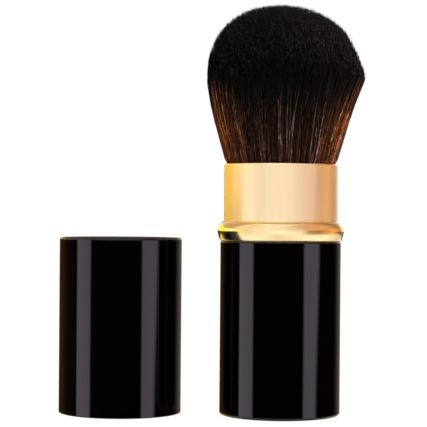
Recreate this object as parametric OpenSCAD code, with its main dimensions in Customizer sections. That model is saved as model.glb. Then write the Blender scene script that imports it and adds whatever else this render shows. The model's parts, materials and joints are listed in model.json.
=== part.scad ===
// Retractable blush brush with a twist-up mechanism, shown raised, its cap stood beside it.
// Millimetres, +Z up. The origin is the centre of the base's underside, and +Y points away from the viewer.
// Turning the collar and neck once on the base lowers the brush into it.

/* [Base] */
// Outside diameter of the base
base_od = 34; // [29:0.5:41]
// Height of the base shell
base_h = 49; // [40:0.5:60]
// Wall of the base shell
base_wall = 0.8; // [0.6:0.05:1]
// Floor of the base shell
base_floor = 1; // [0.8:0.1:1.4]
// Radius of the base's bottom edge
base_edge_r = 0.7; // [0.4:0.05:0.9]
// Thickness of the steel ballast disc
weight_t = 3; // [2:0.25:3.8]
// Web of the base plug over the ballast disc
web_t = 0.8; // [0.6:0.1:1.2]
// Depth of the socket that holds the fork tube
socket_depth = 3; // [2:0.25:4]

/* [Collar and neck] */
// Height of the polished collar
collar_h = 5.5; // [4.4:0.1:7]
// How far the collar stands out past the base
collar_flare = 0.87; // [0.6:0.01:1.2]
// Radius of the collar's rounded upper half, as a share of its height
collar_round_share = 0.6; // [0.55:0.01:0.7]
// Radius of the collar's long lower curve, as a share of its height
collar_flank_share = 1.65; // [1.3:0.05:2.1]
// Radius of the collar's bottom edge
collar_edge_r = 0.4; // [0.25:0.05:0.5]
// Height of the satin neck above the collar
neck_h = 16.2; // [13:0.1:20]
// Wall of the neck sleeve
sleeve_wall = 0.5; // [0.4:0.05:0.7]
// Radius of the rolled lip at the neck's mouth
lip_r = 0.35; // [0.26:0.01:0.45]

/* [Twist mechanism] */
// Wall of the spiral tube
spiral_wall = 1.35; // [1.1:0.05:1.7]
// Depth of the helical grooves
groove_depth = 0.9; // [0.7:0.05:1]
// Turns of the neck from raised to lowered
turns = 1; // [0.8:0.05:1.3]
// Wall of the fork tube
fork_wall = 0.9; // [0.7:0.05:1.2]
// Thickness of the fork tube's top flange
flange_t = 1; // [0.8:0.1:1.4]
// Radius of a lug on the carrier
lug_r = 1; // [0.8:0.05:1.25]
// Cord radius of the friction ring
brake_r = 0.45; // [0.35:0.05:0.55]

/* [Brush] */
// Wall and floor of the carrier
carrier_wall = 0.8; // [0.6:0.05:1]
// Height of the carrier
carrier_h = 10.5; // [8.5:0.25:13]
// Wall and floor of the ferrule
ferrule_wall = 0.4; // [0.3:0.05:0.6]
// Height of the ferrule
ferrule_h = 13.2; // [11:0.2:15]
// Depth of the hair backing's top below the ferrule rim
root_drop = 1; // [0.8:0.1:1.4]
// Thickness of the backing slice that the hair stands in
backing_t = 1; // [0.8:0.1:1.4]
// Widest diameter of the hair
belly_d = 45.2; // [40:0.2:54]
// Height of the widest level above the neck's mouth
belly_h = 24; // [20:0.5:29]
// Height of the crown above the widest level
crown_h = 21.2; // [17:0.1:25.5]
// Roundness of the crown, where 2 is an ellipse
crown_power = 2.2; // [1.8:0.05:2.7]
// How far the hair leans to the right at its widest level, and back to the left at its crown
hair_lean = 0.9; // [0:0.1:1]
// How far the hair bulges past the neck just above its mouth
bulge_out = 0.25; // [0.1:0.05:0.5]
// Number of strands
strands = 400; // [300:10:480]

/* [Cap] */
// Height of the cap
cap_h = 49.6; // [42:0.1:60]
// Wall of the cap shell
cap_wall = 0.5; // [0.45:0.01:0.65]
// Thickness of the cap's top
cap_top_t = 1.2; // [0.9:0.1:1.6]
// Radius of the cap's top edge
cap_edge_r = 0.5; // [0.3:0.05:0.7]
// Wall of the cap liner
liner_wall = 0.6; // [0.5:0.05:0.8]
// Height of the cap liner
liner_h = 34; // [28:0.5:40]
// Distance between the axes of the brush and the cap
cap_spacing = 45.3; // [40:0.1:60]
// How far the cap stands behind the brush
cap_setback = 2.8; // [1:0.1:4]

/* [Fits] */
// Clearance between parts that move on each other
run_gap = 0.12; // [0.09:0.01:0.15]
// Glue line between parts of one assembly
glue_gap = 0.03; // [0.02:0.005:0.04]
// Clearance of the cap liner round the neck
cap_gap = 0.12; // [0.09:0.01:0.15]

/* [Hidden] */
$fn = 96;

// Cuts run this far past the faces they open
over = 1;

// Radii, from the outside in: each piece follows the one it sits in
base_r = base_od / 2;
base_ir = base_r - base_wall;
sleeve_r = base_ir - run_gap;
sleeve_ir = sleeve_r - sleeve_wall;
spiral_r = sleeve_ir - glue_gap;
spiral_ir = spiral_r - spiral_wall;
fork_r = spiral_ir - run_gap;
fork_ir = fork_r - fork_wall;
carrier_r = fork_ir - run_gap;
carrier_ir = carrier_r - carrier_wall;
ferrule_r = carrier_ir - glue_gap;
ferrule_ir = ferrule_r - ferrule_wall;
root_r = ferrule_ir - glue_gap;
collar_r = base_r + collar_flare;
mouth_ir = sleeve_r - 2 * lip_r;

// Cap radii, from the neck outwards
liner_ir = sleeve_r + cap_gap;
liner_r = liner_ir + liner_wall;
cap_ir = liner_r + glue_gap;
cap_r = cap_ir + cap_wall;

// Base plug and ballast
socket_wall = 1.2;
weight_r = fork_ir - socket_wall;
weight_edge = 0.3;
web_top = base_floor + weight_t + web_t;
plug_top = web_top + socket_wall;
socket_z = plug_top - socket_depth;

// Lugs and grooves
lug_land = 2;
lug_count = 2;
slot_w = 2 * (lug_r + run_gap);
groove_half = lug_r + 2 * run_gap;
lug_low = plug_top + lug_land + lug_r;
lug_high = base_h;
travel = lug_high - lug_low;
lead = travel / turns;
lug_tip_r = spiral_ir + groove_depth - 2 * run_gap;
groove_steps = 48;
groove_end = asin(groove_half / spiral_ir);

// Fork tube and what it traps
fork_land = 2;
spiral_top = lug_high + groove_half + fork_land;
flange_z = spiral_top + run_gap + 2 * brake_r + glue_gap;
fork_top = flange_z + flange_t;
flange_r = sleeve_ir - run_gap;
flange_edge = 0.25;

// Carrier and ferrule, in the raised place
lug_lift = 3.5;
carrier_z = lug_high - lug_lift;
ferrule_z = carrier_z + carrier_wall;
ferrule_top = ferrule_z + ferrule_h;
guide_band_h = 1.2;
guide_relief = 0.15;
backing_top = ferrule_top - root_drop;
ferrule_edge_r = 0.35;
thread_r = 0.4;
thread_turns = 5;
thread_pitch_share = 1.6;

// Neck and collar. The collar's two curves start this many degrees off upright, so they meet in a soft ridge.
ridge_up = 3;
ridge_down = 6;
collar_top = base_h + collar_h;
mouth_z = collar_top + neck_h;

// Hair
bulge_h = 1.6;
bulge_z = mouth_z + bulge_h;
belly_z = mouth_z + belly_h;
mouth_clear = 0.2;
golden_angle = 137.508;
strand_share = 0.036;
strand_sides = 3;
shoulder_share = 0.92;
shoulder_thin_share = 0.75;

// Cap
mouth_edge = 0.25;
liner_inset = 0.4;
rib_count = 8;
rib_w = 1.2;
rib_proud = 0.09;
rib_margin = 1;
rib_z = liner_inset + mouth_edge;
rib_h = neck_h - 2 * rib_margin;
vent_w = 2;
vent_h = 5;

black = [0.03, 0.03, 0.035];
satin_gold = [0.93, 0.76, 0.54];
bright_gold = [0.96, 0.79, 0.44];
natural_plastic = [0.86, 0.86, 0.83];
steel = [0.62, 0.63, 0.65];
rubber = [0.1, 0.1, 0.1];
resin = [0.55, 0.42, 0.24];
thread = [0.8, 0.77, 0.7];
hair = [0.16, 0.08, 0.05];

module tube(r, ir, z0, z1) {
    translate([0, 0, z0])
        difference() {
            cylinder(r = r, h = z1 - z0);
            translate([0, 0, -over]) cylinder(r = ir, h = z1 - z0 + 2 * over);
        }
}

// Half section of a disc or block standing on z = 0, its lower outer corner rounded by e
module round_foot_section(r, h, e) {
    translate([0, e]) square([r, h - e]);
    square([r - e, h]);
    translate([r - e, e]) circle(r = e);
}

// A hoop of round section, used to round the rim of a thin wall
module rim_section(r, ir, z) {
    translate([(r + ir) / 2, z]) circle(r = (r - ir) / 2);
}

module base_shell() {
    color(black)
        rotate_extrude() {
            difference() {
                round_foot_section(base_r, base_h - base_wall / 2, base_edge_r);
                translate([-over, base_floor]) square([base_ir + over, base_h]);
            }
            rim_section(base_r, base_ir, base_h - base_wall / 2);
        }
}

// Ribs that fill the open lower ends of the fork tube's slots, so that the tube can't turn in its socket
module socket_keys() {
    key_w = slot_w - 2 * run_gap;
    for (side = [0:lug_count - 1])
        rotate(side * 360 / lug_count)
            intersection() {
                tube(fork_r + 2 * glue_gap, fork_ir - 2 * glue_gap, socket_z - glue_gap, web_top);
                translate([0, -key_w / 2, socket_z - glue_gap]) cube([base_r, key_w, plug_top]);
            }
}

module base_plug() {
    color(natural_plastic) {
        difference() {
            translate([0, 0, base_floor]) cylinder(r = base_ir - glue_gap, h = plug_top - base_floor);
            translate([0, 0, base_floor - over]) cylinder(r = weight_r + glue_gap, h = weight_t + over);
            translate([0, 0, web_top]) cylinder(r = fork_r, h = plug_top);
            tube(fork_r + glue_gap, fork_ir - glue_gap, socket_z, plug_top + over);
        }
        socket_keys();
    }
}

module base_weight() {
    color(steel)
        translate([0, 0, base_floor]) {
            cylinder(r1 = weight_r - weight_edge, r2 = weight_r, h = weight_edge);
            translate([0, 0, weight_edge]) cylinder(r = weight_r, h = weight_t - 2 * weight_edge);
            translate([0, 0, weight_t - weight_edge])
                cylinder(r1 = weight_r, r2 = weight_r - weight_edge, h = weight_edge);
        }
}

// Straight slots, open at the foot so that the carrier's lugs can be fed in from below
module fork_slots() {
    for (side = [0:lug_count - 1])
        rotate(side * 360 / lug_count) {
            translate([0, -slot_w / 2, socket_z - over]) cube([base_r, slot_w, lug_high - socket_z + over]);
            translate([0, 0, lug_high]) rotate([0, 90, 0]) cylinder(r = slot_w / 2, h = base_r);
        }
}

module fork_tube() {
    color(natural_plastic)
        difference() {
            union() {
                tube(fork_r, fork_ir, socket_z, fork_top);
                tube(flange_r, fork_ir, flange_z, fork_top - flange_edge);
                translate([0, 0, fork_top - flange_edge])
                    difference() {
                        cylinder(r1 = flange_r, r2 = flange_r - flange_edge, h = flange_edge);
                        translate([0, 0, -over]) cylinder(r = fork_ir, h = flange_edge + 2 * over);
                    }
            }
            fork_slots();
        }
}

module brake_ring() {
    color(rubber)
        translate([0, 0, spiral_top + run_gap + brake_r])
            rotate_extrude() translate([fork_r + glue_gap + brake_r, 0]) circle(r = brake_r, $fn = 32);
}

module neck_sleeve() {
    lip_z = mouth_z - lip_r;
    color(satin_gold)
        rotate_extrude() {
            translate([sleeve_ir, plug_top + run_gap])
                square([sleeve_wall, lip_z - plug_top - run_gap]);
            translate([sleeve_r - lip_r, lip_z]) circle(r = lip_r, $fn = 48);
        }
}

// Well rounded above its widest line, and nearly straight below it down to a small bottom edge
module collar_section() {
    inner_r = sleeve_r + glue_gap;
    depth = collar_r - inner_r;
    half_h = (collar_h - run_gap) / 2;
    round_r = collar_round_share * collar_h;
    flank_r = collar_flank_share * collar_h;
    flank_x = depth - flank_r * cos(ridge_down);
    flank_z = flank_r * sin(ridge_down);
    edge_z = collar_edge_r - half_h;
    edge_x = flank_x + sqrt((flank_r - collar_edge_r) ^ 2 - (flank_z - edge_z) ^ 2);
    meet_z = flank_z + (edge_z - flank_z) * flank_r / (flank_r - collar_edge_r);
    translate([inner_r, base_h + run_gap + half_h]) {
        intersection() {
            union() {
                translate([depth - round_r * cos(ridge_up), -round_r * sin(ridge_up)]) circle(r = round_r);
                translate([0, -collar_h]) square([depth, collar_h - collar_edge_r]);
            }
            translate([flank_x, flank_z]) circle(r = flank_r);
            translate([0, meet_z]) square([2 * depth, half_h - meet_z]);
        }
        translate([0, -half_h]) square([edge_x, half_h]);
        translate([edge_x, edge_z]) circle(r = collar_edge_r);
    }
}

module collar_ring() {
    color(bright_gold) rotate_extrude() collar_section();
}

// One helical groove as a closed solid. Its upper end is at the lug's raised place, at angle 0.
function groove_angle(i) = -360 * turns - groove_end + (360 * turns + 2 * groove_end) * i / groove_steps;
function groove_corner(i, corner) =
    let (
        a = groove_angle(i),
        z = lug_high + lead * a / 360,
        r = corner == 0 || corner == 3 ? spiral_ir - run_gap : spiral_ir + groove_depth,
        side = corner < 2 ? -1 : 1
    )
    [r * cos(a), r * sin(a), z + side * groove_half];

module helical_groove() {
    points = [for (i = [0:groove_steps], corner = [0:3]) groove_corner(i, corner)];
    walls = [
        for (i = [0:groove_steps - 1], corner = [0:3])
            let (a = 4 * i + corner, b = 4 * i + (corner + 1) % 4)
            each [[a, b, b + 4], [a, b + 4, a + 4]]
    ];
    last = 4 * groove_steps;
    ends = [[0, 3, 2], [0, 2, 1], [last, last + 1, last + 2], [last, last + 2, last + 3]];
    polyhedron(points = points, faces = concat(walls, ends), convexity = 6);
}

// A straight way in from the foot of the spiral tube to the lower end of each groove
module groove_entry() {
    rotate(-360 * turns)
        intersection() {
            tube(spiral_ir + groove_depth, spiral_ir - run_gap, plug_top - over, lug_low);
            translate([0, -groove_half, plug_top - over]) cube([base_r, 2 * groove_half, lug_low]);
        }
}

module spiral_tube() {
    color(natural_plastic)
        difference() {
            tube(spiral_r, spiral_ir, plug_top + run_gap, spiral_top);
            for (side = [0:lug_count - 1])
                rotate(side * 360 / lug_count) {
                    helical_groove();
                    groove_entry();
                }
        }
}

module carrier() {
    color(black) {
        difference() {
            union() {
                translate([0, 0, carrier_z]) cylinder(r = carrier_r - guide_relief, h = carrier_h);
                for (z = [carrier_z, carrier_z + carrier_h - guide_band_h])
                    translate([0, 0, z]) cylinder(r = carrier_r, h = guide_band_h);
            }
            translate([0, 0, ferrule_z]) cylinder(r = carrier_ir, h = carrier_h);
        }
        for (side = [0:lug_count - 1])
            rotate(side * 360 / lug_count)
                translate([carrier_r - carrier_wall / 2, 0, lug_high])
                    rotate([0, 90, 0]) cylinder(r = lug_r, h = lug_tip_r - carrier_r + carrier_wall / 2);
    }
}

module ferrule() {
    color(satin_gold)
        rotate_extrude()
            difference() {
                union() {
                    translate([0, ferrule_z])
                        round_foot_section(ferrule_r, ferrule_h - ferrule_wall / 2, ferrule_edge_r);
                    rim_section(ferrule_r, ferrule_ir, ferrule_top - ferrule_wall / 2);
                }
                translate([-over, ferrule_z + ferrule_wall]) square([ferrule_ir + over, ferrule_h]);
            }
}

// The cotton that ties the hair's root, as turns of thread that touch
function coil_z(i) = ferrule_z + ferrule_h / 2 + (i - thread_turns / 2) * thread_r * thread_pitch_share;
module thread_coils() {
    for (i = [0:thread_turns - 1])
        translate([0, 0, coil_z(i)])
            rotate_extrude() translate([root_r - thread_r, 0]) circle(r = thread_r, $fn = 32);
}

module root_plug() {
    bottom = ferrule_z + ferrule_wall;
    color(resin)
        difference() {
            translate([0, 0, bottom]) cylinder(r = root_r, h = backing_top - backing_t - bottom);
            thread_coils();
            tube(root_r + over, root_r - thread_r, coil_z(0), coil_z(thread_turns - 1));
        }
}

module knot_thread() {
    color(thread) thread_coils();
}

// Outside radius of the hair at height z. Every strand keeps its share of it, so no two cross.
hair_rim_r = (ferrule_ir - 2 * glue_gap) / (1 + strand_share);
hair_mouth_r = (mouth_ir - mouth_clear) / (1 + strand_share);
hair_bulge_r = (sleeve_r + bulge_out) / (1 + strand_share);
hair_belly_r = belly_d / 2;
function between(a, b, share) = a + (b - a) * share;
function hair_r(z) =
    z < mouth_z ? between(hair_rim_r, hair_mouth_r, (z - ferrule_top) / (mouth_z - ferrule_top))
    : z < bulge_z ? between(hair_mouth_r, hair_bulge_r, (z - mouth_z) / bulge_h)
    : z < belly_z ? between(hair_bulge_r, hair_belly_r, (z - bulge_z) / (belly_z - bulge_z))
    : hair_belly_r;
function hair_x(z) =
    z < belly_z ? hair_lean * max(0, z - mouth_z) / belly_h
    : between(hair_lean, -hair_lean, (z - belly_z) / crown_h);
function tip_z(share) = belly_z + crown_h * (1 - share ^ crown_power) ^ (1 / crown_power);

function strand_ring(share, turn, z, thin) =
    let (reach = hair_r(z), r = share * reach, thick = strand_share * reach * thin)
    [for (k = [0:strand_sides - 1])
        let (a = turn + 360 * k / strand_sides)
        [hair_x(z) + r * cos(turn) + thick * cos(a), r * sin(turn) + thick * sin(a), z]];

module strand(i) {
    share = sqrt((i + 0.5) / strands);
    turn = i * golden_angle;
    top = tip_z(share);
    r = share * hair_r(top);
    points = concat(
        strand_ring(share, turn, backing_top - backing_t / 2, 1),
        strand_ring(share, turn, mouth_z, 1),
        strand_ring(share, turn, bulge_z, 1),
        strand_ring(share, turn, between(mouth_z, top, shoulder_share), shoulder_thin_share),
        [[hair_x(top) + r * cos(turn), r * sin(turn), top]]
    );
    n = strand_sides;
    walls = [
        for (level = [0:2], k = [0:n - 1])
            let (a = level * n + k, b = level * n + (k + 1) % n)
            each [[a, a + n, b + n], [a, b + n, b]]
    ];
    tip = [for (k = [0:n - 1]) [3 * n + k, 4 * n, 3 * n + (k + 1) % n]];
    foot = [[for (k = [0:n - 1]) k]];
    polyhedron(points = points, faces = concat(walls, tip, foot), convexity = 2);
}

module bristles() {
    color(hair) {
        translate([0, 0, backing_top - backing_t]) cylinder(r = root_r, h = backing_t);
        for (i = [0:strands - 1]) strand(i);
    }
}

// Moves a piece from the brush's axis to where the cap stands
module beside() {
    translate([-cap_spacing, cap_setback, 0]) children();
}

module cap_shell() {
    color(black)
        beside()
            translate([0, 0, cap_h])
                mirror([0, 0, 1])
                    rotate_extrude() {
                        difference() {
                            round_foot_section(cap_r, cap_h - cap_wall / 2, cap_edge_r);
                            translate([-over, cap_top_t]) square([cap_ir + over, cap_h]);
                        }
                        rim_section(cap_r, cap_ir, cap_h - cap_wall / 2);
                    }
}

module cap_liner() {
    color(natural_plastic)
        beside() {
            difference() {
                tube(liner_r, liner_ir, liner_inset, liner_inset + liner_h);
                for (side = [0:1])
                    rotate(side * 180)
                        translate([0, -vent_w / 2, liner_inset + liner_h - vent_h])
                            cube([cap_r, vent_w, vent_h + over]);
                translate([0, 0, liner_inset - glue_gap])
                    cylinder(r1 = liner_ir + mouth_edge, r2 = liner_ir, h = mouth_edge);
            }
            for (i = [0:rib_count - 1])
                rotate((i + 0.5) * 360 / rib_count)
                    intersection() {
                        tube(liner_ir + liner_wall / 2, liner_ir - rib_proud, rib_z, rib_z + rib_h);
                        translate([0, -rib_w / 2, 0]) cube([cap_r, rib_w, liner_h]);
                    }
        }
}

base_shell();
base_plug();
base_weight();
fork_tube();
brake_ring();
neck_sleeve();
collar_ring();
spiral_tube();
carrier();
ferrule();
root_plug();
knot_thread();
bristles();
cap_shell();
cap_liner();
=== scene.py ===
"""Looks of the twist-up blush brush: its finishes, its hair, the studio round it and the camera.

Lengths are written in millimetres and turned to metres where they are used. +Z is up and -Y faces the viewer.
Colours are linear red, green and blue. A noise's scale is in spots per metre.
"""

import json
import math

import bpy
import numpy as np
from mathutils import Matrix, Vector
from mathutils.kdtree import KDTree


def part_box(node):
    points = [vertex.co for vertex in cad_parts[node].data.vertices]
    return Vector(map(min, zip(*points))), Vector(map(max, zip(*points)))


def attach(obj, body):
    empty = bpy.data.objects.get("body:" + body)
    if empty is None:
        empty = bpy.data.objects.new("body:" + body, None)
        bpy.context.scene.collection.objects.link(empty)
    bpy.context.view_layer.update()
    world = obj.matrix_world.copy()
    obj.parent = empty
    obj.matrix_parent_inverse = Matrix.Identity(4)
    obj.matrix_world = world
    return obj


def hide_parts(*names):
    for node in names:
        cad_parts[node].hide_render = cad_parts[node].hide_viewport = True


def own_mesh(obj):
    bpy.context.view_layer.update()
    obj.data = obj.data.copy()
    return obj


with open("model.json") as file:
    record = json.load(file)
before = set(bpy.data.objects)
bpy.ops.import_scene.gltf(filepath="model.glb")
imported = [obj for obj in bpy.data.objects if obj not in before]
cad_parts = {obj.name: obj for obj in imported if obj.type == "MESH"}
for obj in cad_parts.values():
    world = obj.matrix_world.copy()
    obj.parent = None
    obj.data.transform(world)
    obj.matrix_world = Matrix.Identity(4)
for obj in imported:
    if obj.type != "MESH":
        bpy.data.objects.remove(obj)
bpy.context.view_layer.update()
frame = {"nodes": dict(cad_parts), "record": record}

MM = 0.001
mouth_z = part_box("neck_sleeve")[1].z / MM
rim_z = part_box("ferrule")[1].z / MM

# Camera, from the outlines of the base, the neck and the cap in the 427 by 427 pixel photograph
PHOTO_SIDE = 427
FOCAL_PX = 1705
CAMERA_PLACE = (-19.55, -482.3, 57.9)
CAMERA_YAW = -0.061
CAMERA_PITCH = 0.153
CAMERA_ROLL = 0.446
SENSOR = 36
CLIP_START = 10
CLIP_END = 50000

# Sockets of the Mix node when it mixes colours
MIX_SHARE = 0
MIX_A = 6
MIX_B = 7
MIX_RESULT = 2


class Net:
    """Writes a node tree: most calls add a node and give back its output."""

    def __init__(self, tree):
        self.tree = tree
        tree.nodes.clear()

    def feed(self, socket, value):
        """Links an output to the socket, or sets a number or a colour on it."""
        if isinstance(value, bpy.types.NodeSocket):
            self.tree.links.new(value, socket)
        elif hasattr(value, "__len__") and len(value) == 3 and len(socket.default_value) == 4:
            socket.default_value = (*value, 1)
        else:
            socket.default_value = value

    def set_on(self, shader, **inputs):
        """Feeds a shader's sockets by their names, with _ for a space."""
        for name, value in inputs.items():
            self.feed(shader.inputs[name.replace("_", " ")], value)

    def node(self, kind, inputs=(), output=0, **settings):
        """A new node's output, or the node itself where output is None."""
        made = self.tree.nodes.new(kind)
        for name, value in settings.items():
            setattr(made, name, value)
        for name, value in dict(inputs).items():
            self.feed(made.inputs[name], value)
        return made if output is None else made.outputs[output]

    def math(self, operation, *values):
        return self.node("ShaderNodeMath", dict(enumerate(values)), operation=operation)

    def product(self, first, *others):
        for other in others:
            first = self.math("MULTIPLY", first, other)
        return first

    def flipped(self, value):
        """1 where value is 0, and 0 where it is 1."""
        return self.math("SUBTRACT", 1.0, value)

    def between(self, value, low, high, to_low=0.0, to_high=1.0):
        """value taken from low..high to to_low..to_high with soft ends."""
        inputs = {"Value": value, "From Min": low, "From Max": high, "To Min": to_low, "To Max": to_high}
        return self.node("ShaderNodeMapRange", inputs, interpolation_type="SMOOTHSTEP")

    def spread(self, noise, to_low, to_high, reach=0.3):
        """to_low..to_high as the noise goes from reach below its middle of 0.5 to reach above it."""
        return self.between(noise, 0.5 - reach, 0.5 + reach, to_low, to_high)

    def mix(self, share, a, b):
        inputs = {MIX_SHARE: share, MIX_A: a, MIX_B: b}
        return self.node("ShaderNodeMix", inputs, output=MIX_RESULT, data_type="RGBA")

    def mix_shaders(self, share, a, b):
        return self.node("ShaderNodeMixShader", dict(enumerate((share, a, b))))

    def background(self, color, strength):
        return self.node("ShaderNodeBackground", {"Color": color, "Strength": strength})

    def ramp(self, value, stops):
        """A colour ramp through stops, each a place from 0 to 1 and a colour."""
        made = self.node("ShaderNodeValToRGB", {"Fac": value}, output=None)
        elements = made.color_ramp.elements
        while len(elements) < len(stops):
            elements.new(1.0)
        for element, (place, color) in zip(elements, stops):
            element.position = place
            element.color = (*color, 1)
        return made.outputs["Color"]

    def place(self, stretch=(1, 1, 1)):
        """Object coordinates, multiplied by stretch along the axes."""
        coords = self.node("ShaderNodeTexCoord", output="Object")
        return self.node("ShaderNodeMapping", {"Vector": coords, "Scale": stretch})

    def above_mouth(self):
        """Height above the neck's mouth in millimetres."""
        z = self.node("ShaderNodeSeparateXYZ", {"Vector": self.place()}, output="Z")
        return self.math("SUBTRACT", self.math("DIVIDE", z, MM), mouth_z)

    def mark(self, name):
        """A number that the mesh holds for each strand."""
        return self.node("ShaderNodeAttribute", output="Fac", attribute_name=name)

    def noise(self, scale, detail=2, roughness=0.5, stretch=(1, 1, 1)):
        inputs = {"Vector": self.place(stretch), "Scale": scale, "Detail": detail, "Roughness": roughness}
        return self.node("ShaderNodeTexNoise", inputs)

    def bump(self, height, depth, strength):
        inputs = {"Height": height, "Distance": depth * MM, "Strength": strength}
        return self.node("ShaderNodeBump", inputs)


def new_material(name):
    """An empty material, and the net that writes its nodes."""
    material = bpy.data.materials.new(name)
    material.use_nodes = True
    return material, Net(material.node_tree)


def finish_of(name, build):
    """A material whose principled shader is set by build(net, shader)."""
    material, net = new_material(name)
    shader = net.node("ShaderNodeBsdfPrincipled", output=None)
    build(net, shader)
    net.node("ShaderNodeOutputMaterial", {"Surface": shader.outputs[0]}, output=None)
    return material


def put_in_scene(name, data):
    made = bpy.data.objects.new(name, data)
    bpy.context.scene.collection.objects.link(made)
    return made


# Finishes. The shine of the neck's rolled lip starts LIP_FOOT below the mouth and is full LIP_TOP below it,
# where it takes LIP_SHINE of the roughness away.
LIP_TOP = 0.35
LIP_FOOT = 0.55
LIP_SHINE = 0.6


def black_lacquer(net, shader):
    """High-gloss black with the faint waviness of a sprayed coat."""
    peel = net.noise(scale=260)
    haze = net.noise(scale=45, detail=4, roughness=0.6)
    net.set_on(
        shader,
        Base_Color=net.mix(haze, (0.0006, 0.0004, 0.0005), (0.0011, 0.0008, 0.0010)),
        Specular_IOR_Level=0.4,
        Roughness=net.spread(haze, 0.018, 0.035, reach=0.25),
        Normal=net.bump(peel, depth=0.0012, strength=0.5),
    )


def satin_gold(net, shader):
    """Satin pale gold: lines from the turning run round the neck and spread light up and down it."""
    turned = net.noise(scale=2400, detail=3, roughness=0.6, stretch=(0.03, 0.03, 1))
    streaks = net.noise(scale=700, detail=3, roughness=0.6, stretch=(1, 1, 0.04))
    satin = net.spread(streaks, 0.36, 0.41)
    lip = net.between(net.above_mouth(), -LIP_FOOT, -LIP_TOP)
    net.set_on(
        shader,
        Base_Color=net.mix(net.spread(streaks, 0, 1, reach=0.2), (0.94, 0.83, 0.56), (0.98, 0.87, 0.60)),
        Metallic=1.0,
        Anisotropic=0.8,
        Anisotropic_Rotation=0.25,
        Tangent=net.node("ShaderNodeTangent", direction_type="RADIAL", axis="Z"),
        Roughness=net.product(satin, net.flipped(net.product(lip, LIP_SHINE))),
        Normal=net.bump(turned, depth=0.002, strength=0.4),
    )


def bright_gold(net, shader):
    """Polished gold with faint lines from the turning."""
    turned = net.noise(scale=2600, stretch=(0.02, 0.02, 1))
    cloud = net.noise(scale=120, detail=3)
    net.set_on(
        shader,
        Base_Color=net.mix(cloud, (0.83, 0.72, 0.42), (0.86, 0.76, 0.46)),
        Metallic=1.0,
        Roughness=net.spread(cloud, 0.14, 0.18),
        Normal=net.bump(turned, depth=0.0008, strength=0.3),
    )


def ferrule_aluminium(net, shader):
    """Gold anodised aluminium with lines from the turning."""
    lines = net.noise(scale=1800, detail=3, roughness=0.6, stretch=(0.05, 0.05, 1))
    net.set_on(
        shader,
        Base_Color=net.mix(lines, (0.82, 0.64, 0.40), (0.90, 0.72, 0.48)),
        Metallic=1.0,
        Roughness=net.spread(lines, 0.25, 0.38),
        Normal=net.bump(lines, depth=0.003, strength=0.4),
    )


def natural_plastic(net, shader):
    """Moulded acetal: milky, with the tool's fine grain."""
    grain = net.noise(scale=2200, detail=4, roughness=0.6)
    cloud = net.noise(scale=90, detail=3)
    net.set_on(
        shader,
        Base_Color=net.mix(cloud, (0.70, 0.69, 0.63), (0.80, 0.79, 0.74)),
        Subsurface_Weight=0.2,
        Subsurface_Scale=2 * MM,
        Roughness=net.spread(grain, 0.38, 0.52),
        Normal=net.bump(grain, depth=0.006, strength=0.4),
    )


def black_plastic(net, shader):
    """Moulded black plastic with the tool's fine grain."""
    grain = net.noise(scale=2600, detail=4, roughness=0.6)
    net.set_on(
        shader,
        Base_Color=net.mix(grain, (0.014, 0.014, 0.015), (0.026, 0.026, 0.028)),
        Roughness=net.spread(grain, 0.35, 0.5),
        Normal=net.bump(grain, depth=0.006, strength=0.5),
    )


def plated_steel(net, shader):
    """Zinc plate: cool grey with the plate's cloudy bloom and a ground face."""
    bloom = net.noise(scale=240, detail=5, roughness=0.65)
    ground = net.noise(scale=2400, detail=3, roughness=0.6, stretch=(1, 0.04, 1))
    net.set_on(
        shader,
        Base_Color=net.mix(bloom, (0.46, 0.48, 0.50), (0.66, 0.66, 0.64)),
        Metallic=1.0,
        Roughness=net.spread(bloom, 0.28, 0.48, reach=0.2),
        Normal=net.bump(ground, depth=0.004, strength=0.5),
    )


def silicone_rubber(net, shader):
    """Dull black rubber with a grain."""
    grain = net.noise(scale=1400, detail=4, roughness=0.6)
    net.set_on(
        shader,
        Base_Color=net.mix(grain, (0.03, 0.03, 0.032), (0.055, 0.055, 0.056)),
        Roughness=net.spread(grain, 0.6, 0.8),
        Normal=net.bump(grain, depth=0.01, strength=0.5),
    )


def root_resin(net, shader):
    """Amber resin with the cut hairs showing as dark flecks."""
    flecks = net.noise(scale=1900, stretch=(1, 1, 0.1))
    net.set_on(
        shader,
        Base_Color=net.mix(net.between(flecks, 0.5, 0.65), (0.42, 0.26, 0.10), (0.07, 0.03, 0.015)),
        Roughness=net.spread(flecks, 0.2, 0.45, reach=0.2),
        Normal=net.bump(flecks, depth=0.02, strength=0.4),
    )


def cotton_thread(net, shader):
    """Two plies twisted together, with loose fibre."""
    wave = {"Vector": net.place((1, 1, 1.6)), "Scale": 900, "Distortion": 1.2, "Detail": 2}
    plies = net.node("ShaderNodeTexWave", wave, bands_direction="DIAGONAL")
    fibre = net.noise(scale=3200, detail=4, roughness=0.7)
    net.set_on(
        shader,
        Base_Color=net.mix(net.mix(0.4, plies, fibre), (0.48, 0.43, 0.34), (0.78, 0.74, 0.66)),
        Roughness=0.9,
        Sheen_Weight=0.3,
        Normal=net.bump(plies, depth=0.06, strength=0.7),
    )


# The finish of each slot in the record but the hair's, which make_hair gives
FINISHES = {
    "gloss_black": black_lacquer,
    "satin_gold": satin_gold,
    "bright_gold": bright_gold,
    "ferrule_aluminium": ferrule_aluminium,
    "natural_plastic": natural_plastic,
    "black_plastic": black_plastic,
    "steel": plated_steel,
    "rubber": silicone_rubber,
    "resin": root_resin,
    "thread": cotton_thread,
}


def dress_nodes():
    """Gives each solid the finish that the record names for it."""
    made = {name: finish_of(name, build) for name, build in FINISHES.items()}
    for subpart in frame["record"]["subparts"]:
        if subpart["material_slot"] in made:
            node = frame["nodes"][subpart["node"]]
            node.data.materials.clear()
            node.data.materials.append(made[subpart["material_slot"]])


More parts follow.
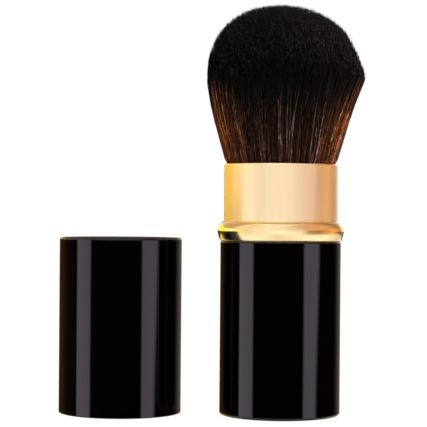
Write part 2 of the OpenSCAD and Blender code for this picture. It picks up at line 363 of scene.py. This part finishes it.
# Hair. Its heights are measured from the neck's mouth upwards. Each strand belongs to the lock nearest to it.
HAIR_SEED = 7
HAIR_COUNT = 24000
HAIR_RADIUS = 0.095
LOCK_COUNT = 8000

# The tuft's outline: its radius at four heights, the dome over its belly, its lean to one side and back, and
# the edge at its upper right that wear has cut off at a slope
ROOT_DEPTH = 1
ROOT_R = 11.5
MOUTH_H = -0.5
MOUTH_R = 15.0
BULGE_H = 1.5
BULGE_R = 16.05
BELLY_H = 24.2
BELLY_R = 22.4
CROWN_H = 20.9
CROWN_POWER = 2.15
LEAN = 1.25
LEAN_POWER = 4
LEAN_BACK = -1.85
LEAN_BACK_POWER = 1.3
CHAMFER_X = 23.6
CHAMFER_H = 25.2
CHAMFER_SLOPE = 0.46
root_h = rim_z - ROOT_DEPTH - mouth_z

# Places of strands and locks on a disc of radius 1: the angle that spreads them evenly, and their scatter
GOLDEN_ANGLE = math.radians(137.508)
SHARE_SCATTER = 0.006
SHARE_LEAST = 0.002
TURN_SCATTER = 0.01
LOCK_SCATTER = 0.012

# How far the tips fall short of the dome: each strand's own part, its lock's, the few that are stunted, and
# the few locks that stand proud. The worn edge takes off more, and the cut is worked out in a few rounds.
OWN_SHORT = 0.4
LOCK_SHORT = 0.25
STUNTED_PART = 0.08
STUNTED_BY = (0.5, 5)
PROUD_PART = 0.10
PROUD_BY = (0.2, 1.0)
EDGE_SHORT = 2
CUT_ROUNDS = 3

# How the strands bend: their waves, which grow with height, the sway of their lock, the slope at which they
# leave the tuft's course and from what height, the pull to their lock, and how far out they may reach.
# NEAR_AXIS keeps the last of these from a division by zero.
WAVE_LENGTH = (24, 50)
WAVE_SHAPE = 2.0
WAVE_SIZE = 0.09
WAVE_POWER = 1.5
GROWN_MOST = 1.6
LOCK_SWAY = 0.16
SPLAY = 0.04
WILD_PART = 0.2
WILD_SPLAY = 0.10
SPLAY_FROM = (0, 12)
LOCK_PULL = 0.3
PULL_SHARE = (0.4, 1.0)
PULL_FULL_AT = 0.7
REACH = (0.97, 1.005)
NEAR_AXIS = 0.001

# A strand's mesh: its corners round, the places of its upper levels between the bulge and the tip, and how
# thick it is at each level, from the root up
SIDES = 3
LEVEL_PARTS = (0.22, 0.45, 0.68, 0.92, 1.0)
LEVEL_THICK = (1, 1, 1, 1, 1, 1, 0.9, 0.2)

# What tells the strands' looks apart: their tint at the root, the thin pale ones, which stand partly for
# painted highlights on single hairs and of which there are more at the tuft's two sides, their thickness, and
# the painted sheen on their black part
TINT_MOST = 0.93
OWN_TINT = 0.7
LOCK_TINT = 0.3
PALE_PART = 0.07
PALE_MORE_AT_SIDES = 1.5
PALE_SIDES_POWER = 4
PALE_TINT = (0.94, 1.0)
PALE_THICK = 0.60
THICK_LEAST = 0.85
THICK_BY_TINT = 0.4
LIGHT_LEAST = 0.5
LOCK_LIGHT = 0.2
OWN_LIGHT = 0.3

# The pieces of hair: sectors of an inner and an outer group, told apart at INNER_R. Each group also gives
# keep and anchor, for flattening a piece as the brush sinks: the share of its depth that stays, and how far
# out from the axis the place lies that it flattens towards.
INNER_R = 13.2
GROUPS = {
    "inner": {"sectors": 12, "keep": 0.82, "anchor": 0},
    "outer": {"sectors": 32, "keep": 0.19, "anchor": 10},
}


def fan_r(h):
    """Radius of the tuft at height h, for a strand at its outside."""
    heights = [root_h, MOUTH_H, BULGE_H, BELLY_H]
    radii = [ROOT_R, MOUTH_R, BULGE_R, BELLY_R]
    return np.interp(h, heights, radii)


def lean_x(h):
    """The tuft's middle, which leans to +X at the belly and back to -X at the crown."""
    low = LEAN * np.clip(h / BELLY_H, 0, 1) ** LEAN_POWER
    high = LEAN_BACK * np.clip((h - BELLY_H) / CROWN_H, 0, 1) ** LEAN_BACK_POWER
    return low + high


def dome_h(share):
    """Height of the dome at a share of the belly's radius."""
    return BELLY_H + CROWN_H * (1 - share**CROWN_POWER) ** (1 / CROWN_POWER)


def disc_spread(count):
    """Places spread evenly over a disc of radius 1, as radius and turn."""
    index = np.arange(count)
    return np.sqrt((index + 0.5) / count), index * GOLDEN_ANGLE


def on_disc(share, turn):
    return np.stack([share * np.cos(turn), share * np.sin(turn)])


def nearest_lock(places, locks):
    """For each place, the number of the lock that lies nearest."""
    tree = KDTree(locks.shape[1])
    for i, (x, y) in enumerate(locks.T):
        tree.insert((x, y, 0), i)
    tree.balance()
    return np.array([tree.find((x, y, 0))[1] for x, y in places.T])


def strand_levels(top):
    """Heights along each strand, from its root in the resin to its tip."""
    levels = [np.full(len(top), h) for h in (root_h, MOUTH_H, BULGE_H)]
    levels += [BULGE_H + (top - BULGE_H) * part for part in LEVEL_PARTS]
    return np.stack(levels, 1)


def trimmed(px, py, dome, short):
    """The tips cut back to the dome and to the worn edge, each by its own small amount."""
    share = np.minimum(np.hypot(px, py) / BELLY_R, 1)
    top = np.minimum(dome, dome_h(share) - short)
    edge = CHAMFER_H + (CHAMFER_X - lean_x(top) - px) / CHAMFER_SLOPE
    return np.minimum(top, np.maximum(edge, BELLY_H) - EDGE_SHORT * short)


class Strands:
    """What is drawn at random for each strand, and its middle line.

    Arrays run over x and y where the two differ, then over the strands, then over the heights on a strand.
    """

    def __init__(self, rng):
        self.plant(rng)
        self.cut(rng)
        self.bend(rng)

    def plant(self, rng):
        """Where each strand and its lock stand on a disc of radius 1."""
        share, turn = disc_spread(HAIR_COUNT)
        self.share = np.clip(share + rng.normal(0, SHARE_SCATTER, HAIR_COUNT), SHARE_LEAST, 1.0)
        self.turn = turn + rng.normal(0, TURN_SCATTER, HAIR_COUNT)
        home = on_disc(self.share, self.turn)
        locks = on_disc(*disc_spread(LOCK_COUNT)) + rng.normal(0, LOCK_SCATTER, (2, LOCK_COUNT))
        self.lock = nearest_lock(home, locks)
        self.home = home[:, :, None]
        self.lock_home = locks[:, self.lock, None]

    def cut(self, rng):
        """By how much each tip falls short of the dome."""
        short = np.abs(rng.normal(0, OWN_SHORT, HAIR_COUNT))
        short += np.abs(rng.normal(0, LOCK_SHORT, LOCK_COUNT))[self.lock]
        stunted = rng.random(HAIR_COUNT) < STUNTED_PART
        short += np.where(stunted, rng.uniform(*STUNTED_BY, HAIR_COUNT), 0)
        proud = rng.random(LOCK_COUNT) < PROUD_PART
        proud_by = np.where(proud, rng.uniform(*PROUD_BY, LOCK_COUNT), 0)
        self.short = short - proud_by[self.lock]

    def bend(self, rng):
        """Each strand's waves, sway, splay, pull to its lock and reach."""
        self.phase = rng.uniform(0, 2 * math.pi, (2, HAIR_COUNT, 1))
        self.wave = rng.uniform(*WAVE_LENGTH, (2, HAIR_COUNT, 1))
        self.size = rng.gamma(WAVE_SHAPE, WAVE_SIZE, (2, HAIR_COUNT, 1))
        self.sway = rng.normal(0, LOCK_SWAY, (2, LOCK_COUNT))[:, self.lock, None]
        wild = rng.random(HAIR_COUNT) < WILD_PART
        self.splay = rng.normal(0, np.where(wild, WILD_SPLAY, SPLAY), (2, HAIR_COUNT))[:, :, None]
        self.splay_from = rng.uniform(*SPLAY_FROM, HAIR_COUNT)[:, None]
        self.pull = LOCK_PULL * rng.uniform(*PULL_SHARE, HAIR_COUNT)[:, None]
        self.reach = rng.uniform(*REACH, HAIR_COUNT)[:, None]

    def course(self, h):
        """Where the strands are at heights h, before the tuft's lean."""
        radius = fan_r(h)
        grown = np.clip(h / BELLY_H, 0, GROWN_MOST)
        pull = self.pull * np.clip(h / (PULL_FULL_AT * BELLY_H), 0, 1)
        waves = self.size * grown**WAVE_POWER * np.sin(2 * math.pi * h / self.wave + self.phase)
        sway = waves + self.sway * grown
        aside = self.splay * np.clip(h - self.splay_from, 0, None)
        place = radius * (self.home + pull * (self.lock_home - self.home)) + sway + aside
        held = np.minimum(1, radius * self.reach / np.maximum(np.hypot(*place), NEAR_AXIS))
        return place * held

    def lines(self):
        """The strands' middle lines, as (strand, level, xyz) in millimetres."""
        dome = dome_h(self.share)
        top = dome
        for _ in range(CUT_ROUNDS):
            px, py = self.course(top[:, None])[:, :, 0]
            top = trimmed(px, py, dome, self.short)
        h = strand_levels(top)
        px, py = self.course(h)
        return np.stack([lean_x(h) + px, py, h + mouth_z], 2)

    def marks(self, rng):
        """Each strand's radius, and its marks for the material, which run from 0 to 1."""
        own_tint = rng.random(HAIR_COUNT)
        tint = TINT_MOST * (OWN_TINT * own_tint + LOCK_TINT * rng.random(LOCK_COUNT)[self.lock])
        # How far towards the tuft's left and right sides a strand stands, where its colour gets the painted
        # glow
        side = self.share * np.abs(np.cos(self.turn))
        more = 1 + PALE_MORE_AT_SIDES * side**PALE_SIDES_POWER
        # Pale strands are partly real pale hairs and partly painted highlights on single hairs; more of them
        # are painted at the two glowing sides
        pale = rng.random(HAIR_COUNT) < PALE_PART * more
        radius = HAIR_RADIUS * np.where(pale, PALE_THICK, THICK_LEAST + THICK_BY_TINT * tint)
        tint = np.where(pale, rng.uniform(*PALE_TINT, HAIR_COUNT), tint)
        # A strand's share of the painted sheen on its black part
        light = LIGHT_LEAST + LOCK_LIGHT * rng.random(LOCK_COUNT)[self.lock]
        light = light + OWN_LIGHT * rng.random(HAIR_COUNT)
        return radius, {"tint": tint, "side": side, "light": light}


def strand_faces(count, levels):
    """Faces of count strands: the sides between their levels, and a face at each foot and tip."""
    start = np.arange(count)[:, None, None] * levels * SIDES
    level = np.arange(levels - 1)[:, None] * SIDES
    corner = np.arange(SIDES)
    a = start + level + corner
    b = start + level + (corner + 1) % SIDES
    sides = np.stack([a, b, b + SIDES, a + SIDES], 3).reshape(-1, 4)
    feet = start[:, 0] + corner[::-1]
    tips = start[:, 0] + (levels - 1) * SIDES + corner
    return sides.tolist() + feet.tolist() + tips.tolist()


def strand_mesh(name, lines, radius, marks):
    """One piece of strands that thin towards their tips, with each strand's marks for its material."""
    count, levels = lines.shape[:2]
    angles = 2 * math.pi * np.arange(SIDES) / SIDES
    section = np.stack([np.cos(angles), np.sin(angles), np.zeros(SIDES)], 1)
    radii = radius[:, None] * np.array(LEVEL_THICK)
    verts = lines[:, :, None, :] + radii[:, :, None, None] * section
    mesh = bpy.data.meshes.new(name)
    mesh.from_pydata((verts.reshape(-1, 3) * MM).tolist(), [], strand_faces(count, levels))
    for label, values in marks.items():
        attribute = mesh.attributes.new(label, "FLOAT", "POINT")
        attribute.data.foreach_set("value", np.repeat(values, levels * SIDES).astype(np.float32))
    mesh.polygons.foreach_set("use_smooth", np.ones(len(mesh.polygons), bool))
    return put_in_scene(name, mesh)


# Colours of the hair. The root's follow a strand's tint, in the middle of the tuft and at its two sides,
# which have a painted glow of light shining through the hair, and the black's follow the painted sheen on it.
# Two noises give the black its grain of painted sheen and the root its painted shade in dark gaps.
# The top stop of each root ramp colours the pale strands, which are partly painted highlights on single hairs
ROOT_MIDDLE = [
    (0.0, (0.004, 0.0012, 0.0006)),
    (0.45, (0.019, 0.0055, 0.0024)),
    (0.75, (0.085, 0.022, 0.008)),
    (0.92, (0.24, 0.076, 0.032)),
    (1.0, (0.60, 0.38, 0.33)),
]
# Painted glow: the root's colours at the two sides, standing for light shining through the hair there
ROOT_PAINTED_GLOW = [
    (0.0, (0.009, 0.0020, 0.0006)),
    (0.42, (0.078, 0.0160, 0.0025)),
    (0.72, (0.38, 0.078, 0.006)),
    (0.90, (0.85, 0.24, 0.028)),
    (1.0, (0.97, 0.66, 0.35)),
]
# The black's colours rise with the painted sheen on it to a blue-grey
BLACK = [
    (0.0, (0.0003, 0.0003, 0.0004)),
    (0.41, (0.0010, 0.0009, 0.0013)),
    (0.60, (0.0056, 0.0058, 0.0080)),
    (0.90, (0.084, 0.087, 0.114)),
]
GRAIN_NOISE = (0.40, 0.63)
# Painted shade: a noise darkens the root in spots, standing for the shade in gaps between locks
PAINTED_GAP_SHADE = (0.0012, 0.0008, 0.0008)
GAP_SHARE = 0.75
GAP_NOISE = (0.35, 0.62)

# Where the painted glow starts and is full, as a share of the tuft's radius, and where it fades at the very
# edge
GLOW_FROM = (0.55, 0.9)
GLOW_FADES = (0.93, 1.0)
GLOW_AT_EDGE = 0.45

# Heights between which the root's brown gives way to black on a strand of middle tint, and how much higher
# that is for each step of 1 in tint and in the painted glow at the tuft's sides, where the higher brown is
# part of the painted glow
DYED = (5.0, 20.0)
MIDDLE_TINT = 0.5
DYE_BY_TINT = 6.0
BROWN_HIGHER_IN_PAINTED_GLOW = 4.0

# Heights between which the root's painted extra light near the mouth fades, and how much that painted light
# is in the middle and at the sides, where it falls below 0 and so is painted shade
MOUTH_LIGHT = (2.0, 9.0)
LIFT_IN_MIDDLE = 0.4
LIFT_AT_SIDES = -0.2

# Heights between which the black gets its painted sheen, with the share that it has below, and between which
# the painted sheen is dimmed a little at the crown, a painted shade there
BLACK_LIGHT = (12, 34)
LIGHT_BELOW = 0.42
CROWN_FADES = (30, 43)
LIGHT_AT_CROWN = 0.92


def brown_root(net, height, tint, outside):
    """Brown hair with a painted orange glow at the tuft's two sides, painted shade in dark gaps and painted
    light near the mouth.
    """
    # The painted glow's colours take over towards the tuft's two sides
    root = net.mix(outside, net.ramp(tint, ROOT_MIDDLE), net.ramp(tint, ROOT_PAINTED_GLOW))
    # Painted shade in dark gaps between the locks
    gaps = net.noise(scale=1500, stretch=(1, 1, 0.4))
    root = net.mix(net.between(gaps, *GAP_NOISE, 0.0, GAP_SHARE), root, PAINTED_GAP_SHADE)
    # Painted extra light near the mouth in the middle, and painted shade there at the sides
    at_mouth = net.between(height, *MOUTH_LIGHT, 1.0, 0.0)
    lift = net.product(at_mouth, net.between(outside, 0.0, 1.0, LIFT_IN_MIDDLE, LIFT_AT_SIDES))
    inputs = {0: root, "Scale": net.math("ADD", 1.0, lift)}
    return net.node("ShaderNodeVectorMath", inputs, operation="SCALE")


def black_tips(net, height):
    """Black hair with a fine blue-grey grain of painted sheen."""
    grain = net.between(net.noise(scale=2400, roughness=0.6, stretch=(1, 1, 0.6)), *GRAIN_NOISE)
    # Less painted sheen low down, and a little painted shade at the crown
    low = net.between(height, *BLACK_LIGHT, LIGHT_BELOW, 1.0)
    crown = net.between(height, *CROWN_FADES, 1.0, LIGHT_AT_CROWN)
    return net.ramp(net.product(grain, net.mark("light"), low, crown), BLACK)


def soft_hair(net, shader):
    """Hair dyed black from the tip down over a brown root."""
    tint = net.mark("tint")
    side = net.mark("side")
    # outside is how much of the painted orange glow a strand takes, by its place towards the tuft's two sides
    outside = net.product(net.between(side, *GLOW_FROM), net.between(side, *GLOW_FADES, 1.0, GLOW_AT_EDGE))
    height = net.above_mouth()
    by_tint = net.product(net.math("SUBTRACT", tint, MIDDLE_TINT), DYE_BY_TINT)
    # The brown reaches higher in the painted glow at the sides
    higher = net.math("ADD", by_tint, net.product(outside, BROWN_HIGHER_IN_PAINTED_GLOW))
    dyed = net.between(net.math("SUBTRACT", height, higher), *DYED)
    net.set_on(
        shader,
        Base_Color=net.mix(dyed, brown_root(net, height, tint, outside), black_tips(net, height)),
        Roughness=0.5,
        Specular_IOR_Level=0.12,
    )


def widest_place(lines):
    """Each strand's radius and turn round the brush's axis, taken where it lies farthest out."""
    flat = lines[:, :, :2]
    farthest = np.hypot(flat[:, :, 0], flat[:, :, 1]).argmax(1)
    x, y = flat[np.arange(len(flat)), farthest].T
    return np.hypot(x, y), np.mod(np.arctan2(y, x), 2 * math.pi)


def fold_with_brush(piece):
    """Lets a piece of hair ride on the brush, with a mesh of its own."""
    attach(piece, "brush")
    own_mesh(piece)


def make_hair():
    """The tuft, as one piece for each sector of each group."""
    rng = np.random.default_rng(HAIR_SEED)
    strands = Strands(rng)
    radius, marks = strands.marks(rng)
    lines = strands.lines()
    material = finish_of("hair", soft_hair)
    out, angle = widest_place(lines)
    members = {"inner": out < INNER_R, "outer": out >= INNER_R}
    for label, group in GROUPS.items():
        sectors = group["sectors"]
        sector = np.minimum((angle / (2 * math.pi) * sectors).astype(int), sectors - 1)
        for k in range(sectors):
            rows = np.nonzero(members[label] & (sector == k))[0]
            row_marks = {name: values[rows] for name, values in marks.items()}
            piece = strand_mesh(f"hair_{label}_{k + 1:02d}", lines[rows], radius[rows], row_marks)
            piece.data.materials.append(material)
            fold_with_brush(piece)
    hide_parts("bristles")


# The room that mirrors see. Each ring gives the light's colour, where 1 is white, at turns in degrees: 0 is
# towards the viewer and + is to the right. ROOM_LEVEL is the strength of the room's light, and more than any
# colour in it.
ROOM_LEVEL = 2.5
WALL = [
    (-180, (0.95, 0.76, 0.62)),
    (-135, (0.72, 0.46, 0.23)),
    (-112, (0.68, 0.42, 0.21)),
    (-90, (1.26, 0.92, 0.68)),
    (-70, (1.12, 0.84, 0.62)),
    (-40, (1.22, 1.06, 1.02)),
    (0, (1.15, 0.97, 0.92)),
    (50, (0.84, 0.52, 0.38)),
    (105, (0.90, 0.42, 0.20)),
    (138, (0.36, 0.18, 0.11)),
    (165, (0.75, 0.60, 0.47)),
]
LOW_WALL = [
    (-180, (1.80, 1.60, 0.90)),
    (-134, (1.80, 1.00, 0.02)),
    (-108, (2.20, 1.62, 0.80)),
    (-70, (1.10, 0.80, 0.55)),
    (0, (1.38, 1.27, 1.24)),
    (34, (1.32, 1.04, 0.90)),
    (54, (0.50, 0.21, 0.06)),
    (76, (0.55, 0.21, 0.03)),
    (108, (1.25, 0.55, 0.14)),
    (138, (0.62, 0.30, 0.15)),
    (165, (1.80, 1.42, 1.20)),
]
FLOOR = [
    (-180, (1.10, 0.95, 0.50)),
    (-130, (1.10, 0.68, 0.08)),
    (-100, (1.15, 0.98, 0.60)),
    (-80, (1.16, 1.14, 1.10)),
    (-50, (1.16, 1.16, 1.17)),
    (-5, (1.12, 0.90, 0.74)),
    (45, (1.18, 1.14, 1.12)),
    (95, (1.18, 1.20, 1.15)),
    (138, (1.00, 0.72, 0.52)),
    (165, (1.15, 1.05, 0.90)),
]
DARK_BAND = [
    (-180, (0.075, 0.030, 0.008)),
    (-135, (0.11, 0.040, 0.010)),
    (-105, (0.0, 0.0, 0.0)),
    (124, (0.0, 0.0, 0.0)),
    (148, (0.27, 0.21, 0.19)),
    (180, (0.27, 0.21, 0.19)),
]
BACK = (0.055, 0.050, 0.055)
CEILING = (1.50, 1.25, 1.00)
NEAR_SHADOW = (0.25, 0.2375, 0.225)
STRIP_COLOR = (1.86, 1.62, 1.86)

# The floor ends at the horizon behind the object, and this far below it, as a sine, towards the viewer
FLOOR_EDGE = 0.375
FLOOR_EDGE_SOFT = 0.02

# Heights in degrees above the horizon between which the low wall gives way to the wall, the wall to the
# ceiling and the near shadow to the floor, and turns between which the room goes dark at the back
LOW_WALL_TOP = (12, 20)
CEILING_FROM = (62, 78)
NEAR_FLOOR = (-58, -46)
BACK_FROM = (165, 174)

# The dark band lies just below the horizon, and its top is higher at the left behind the object
BAND_FOOT = (-8.3, -7.8)
BAND_TOP = -0.6
BAND_TOP_LEFT_BEHIND = 1.7
BAND_TOP_SOFT = 0.25
BEHIND_FROM = (0.0, 0.3)
LEFT_TO = (-0.2, 0.0)

# Two light strips stand in the dark band, given as turns, with the softness of their two edges. The right
# one is narrower at its foot.
LEFT_STRIP = (-86, -55.2)
LEFT_SOFT = (2.0, 3.0)
RIGHT_STRIP = (43.5, 76)
RIGHT_SOFT = (3.0, 5.5)
RIGHT_FOOT_END = 70
RIGHT_FOOT = (-7.0, -1.0)

# The plain light on everything that isn't a mirror, from the front, and from the sides and the back
PLAIN_FRONT = 0.4
PLAIN_SIDE = 1.0
PLAIN_CHANGE = (-1.0, 0.2)

# The floor under the object, and how much of it shows the camera a light of its own
PAPER_HALF = 3000
PAPER_COLORS = ((0.93, 0.93, 0.93), (0.95, 0.95, 0.95))
PAPER_LIGHT = 1.04
PAPER_LIGHT_SHARE = 0.93
WHITE = (1, 1, 1)

# Lamps, with their power in watts
LAMPS = {
    "key": {"place": (-420, -420, 520), "aim": (0, 0, 70), "size": (360, 360), "power": 1.0},
    "rim_left": {"place": (-520, 60, 120), "aim": (0, 0, 85), "size": (220, 420), "power": 7.5},
    "rim_right": {"place": (520, 60, 120), "aim": (0, 0, 85), "size": (220, 420), "power": 3.5},
}


def in_room(color):
    """A colour as a share of the room's strength."""
    return tuple(c / ROOM_LEVEL for c in color)


def ring_color(net, around, ring):
    """The ring's colour at around, which goes from 0 at a turn of -180 degrees to 1 at 180."""
    return net.ramp(around, [((turn + 180) / 360, in_room(color)) for turn, color in ring])


def strip_between(net, turn, low, high, low_soft, high_soft):
    """1 where the turn lies between low and high, with soft edges."""
    rise = net.between(turn, net.math("SUBTRACT", low, low_soft), net.math("ADD", low, low_soft))
    fall = net.between(turn, net.math("SUBTRACT", high, high_soft), net.math("ADD", high, high_soft))
    return net.product(rise, net.flipped(fall))


def light_strips(net, turn, up):
    """1 in the two light strips of the dark band."""
    left = strip_between(net, turn, *LEFT_STRIP, *LEFT_SOFT)
    right_low, right_high = RIGHT_STRIP
    right_end = net.between(up, *RIGHT_FOOT, RIGHT_FOOT_END, right_high)
    right = strip_between(net, turn, right_low, right_end, *RIGHT_SOFT)
    return net.math("ADD", left, right)


def in_dark_band(net, x, y, up):
    """1 in the dark band below the horizon."""
    left_behind = net.product(net.between(y, *BEHIND_FROM), net.between(x, *LEFT_TO, 1.0, 0.0))
    top = net.between(left_behind, 0.0, 1.0, BAND_TOP, BAND_TOP_LEFT_BEHIND)
    over = net.between(net.math("SUBTRACT", up, top), -BAND_TOP_SOFT, BAND_TOP_SOFT)
    return net.product(net.flipped(over), net.between(up, *BAND_FOOT))


def room_colors(net, y, z, up, turn, around):
    """The floor, the walls, the dark back and the ceiling of the room."""
    to_viewer = net.math("SQRT", net.product(net.flipped(y), 0.5))
    over_edge = net.math("ADD", z, net.product(to_viewer, FLOOR_EDGE))
    low_wall = ring_color(net, around, LOW_WALL)
    wall = net.mix(net.between(up, *LOW_WALL_TOP), low_wall, ring_color(net, around, WALL))
    above_floor = net.between(over_edge, -FLOOR_EDGE_SOFT, FLOOR_EDGE_SOFT)
    room = net.mix(above_floor, ring_color(net, around, FLOOR), wall)
    room = net.mix(net.between(up, *NEAR_FLOOR), in_room(NEAR_SHADOW), room)
    room = net.mix(net.between(net.math("ABSOLUTE", turn), *BACK_FROM), room, in_room(BACK))
    return net.mix(net.between(up, *CEILING_FROM), room, in_room(CEILING))


def mirrored_room(net, x, y, z):
    """What mirrors see: a pale floor, a warm room, and a dark band between them with two light strips."""
    up = net.math("DEGREES", net.math("ARCSINE", z))
    turn = net.math("DEGREES", net.math("ARCTAN2", x, net.product(y, -1.0)))
    around = net.math("DIVIDE", net.math("ADD", turn, 180.0), 360.0)
    room = room_colors(net, y, z, up, turn, around)
    band = net.mix(light_strips(net, turn, up), ring_color(net, around, DARK_BAND), in_room(STRIP_COLOR))
    return net.mix(in_dark_band(net, x, y, up), room, band)


def make_world():
    """White for the camera, the room for mirrors and glass, and the plain light for everything else."""
    world = bpy.data.worlds.new("studio")
    world.use_nodes = True
    bpy.context.scene.world = world
    net = Net(world.node_tree)
    direction = net.node("ShaderNodeTexCoord", output="Generated")
    x, y, z = net.node("ShaderNodeSeparateXYZ", {"Vector": direction}, output=None).outputs
    mirrored = net.background(mirrored_room(net, x, y, z), ROOM_LEVEL)
    plain = net.background(WHITE, net.between(y, *PLAIN_CHANGE, PLAIN_FRONT, PLAIN_SIDE))
    white = net.background(WHITE, 1.0)
    path = net.node("ShaderNodeLightPath", output=None)
    glossy = net.math("MAXIMUM", path.outputs["Is Glossy Ray"], path.outputs["Is Transmission Ray"])
    seen = net.mix_shaders(glossy, plain, mirrored)
    seen = net.mix_shaders(path.outputs["Is Camera Ray"], seen, white)
    net.node("ShaderNodeOutputWorld", {"Surface": seen}, output=None)


def make_floor():
    """A sheet of white paper that keeps a faint shadow in the camera's view."""
    material, net = new_material("floor")
    paper = net.node("ShaderNodeBsdfDiffuse", {"Color": net.mix(net.noise(scale=40), *PAPER_COLORS)})
    white = net.node("ShaderNodeEmission", {"Color": WHITE, "Strength": PAPER_LIGHT})
    path = net.node("ShaderNodeLightPath", output="Is Camera Ray")
    mixed = net.mix_shaders(net.product(path, PAPER_LIGHT_SHARE), paper, white)
    net.node("ShaderNodeOutputMaterial", {"Surface": mixed}, output=None)
    half = PAPER_HALF * MM
    corners = [(-half, -half, 0), (half, -half, 0), (half, half, 0), (-half, half, 0)]
    mesh = bpy.data.meshes.new("floor")
    mesh.from_pydata(corners, [], [range(4)])
    mesh.materials.append(material)
    floor = put_in_scene("floor", mesh)
    floor.visible_glossy = False


def add_lamp(name, place, aim, size, power):
    """An oblong area lamp that neither the camera nor a mirror sees."""
    data = bpy.data.lights.new(name, "AREA")
    data.shape = "RECTANGLE"
    data.size, data.size_y = size[0] * MM, size[1] * MM
    data.energy = power
    lamp = put_in_scene(name, data)
    start, end = np.array(place) * MM, np.array(aim) * MM
    lamp.location = start
    lamp.rotation_mode = "QUATERNION"
    lamp.rotation_quaternion = Vector(start - end).to_track_quat("Z", "Y")
    lamp.visible_camera = False
    lamp.visible_glossy = False


def make_lamps():
    for name, lamp in LAMPS.items():
        add_lamp(name, **lamp)


def make_camera():
    """The photograph's camera. Its angles are given in degrees."""
    data = bpy.data.cameras.new("camera")
    data.sensor_width = SENSOR
    data.lens = SENSOR * FOCAL_PX / PHOTO_SIDE
    data.clip_start, data.clip_end = CLIP_START * MM, CLIP_END * MM
    camera = put_in_scene("camera", data)
    yaw = Matrix.Rotation(math.radians(CAMERA_YAW), 4, "Z")
    pitch = Matrix.Rotation(math.radians(90 - CAMERA_PITCH), 4, "X")
    roll = Matrix.Rotation(math.radians(CAMERA_ROLL), 4, "Z")
    place = Matrix.Translation([c * MM for c in CAMERA_PLACE])
    camera.matrix_world = place @ yaw @ pitch @ roll
    bpy.context.scene.camera = camera


dress_nodes()
make_hair()
make_world()
make_floor()
make_lamps()
make_camera()
bpy.context.scene.view_settings.view_transform = "Standard"
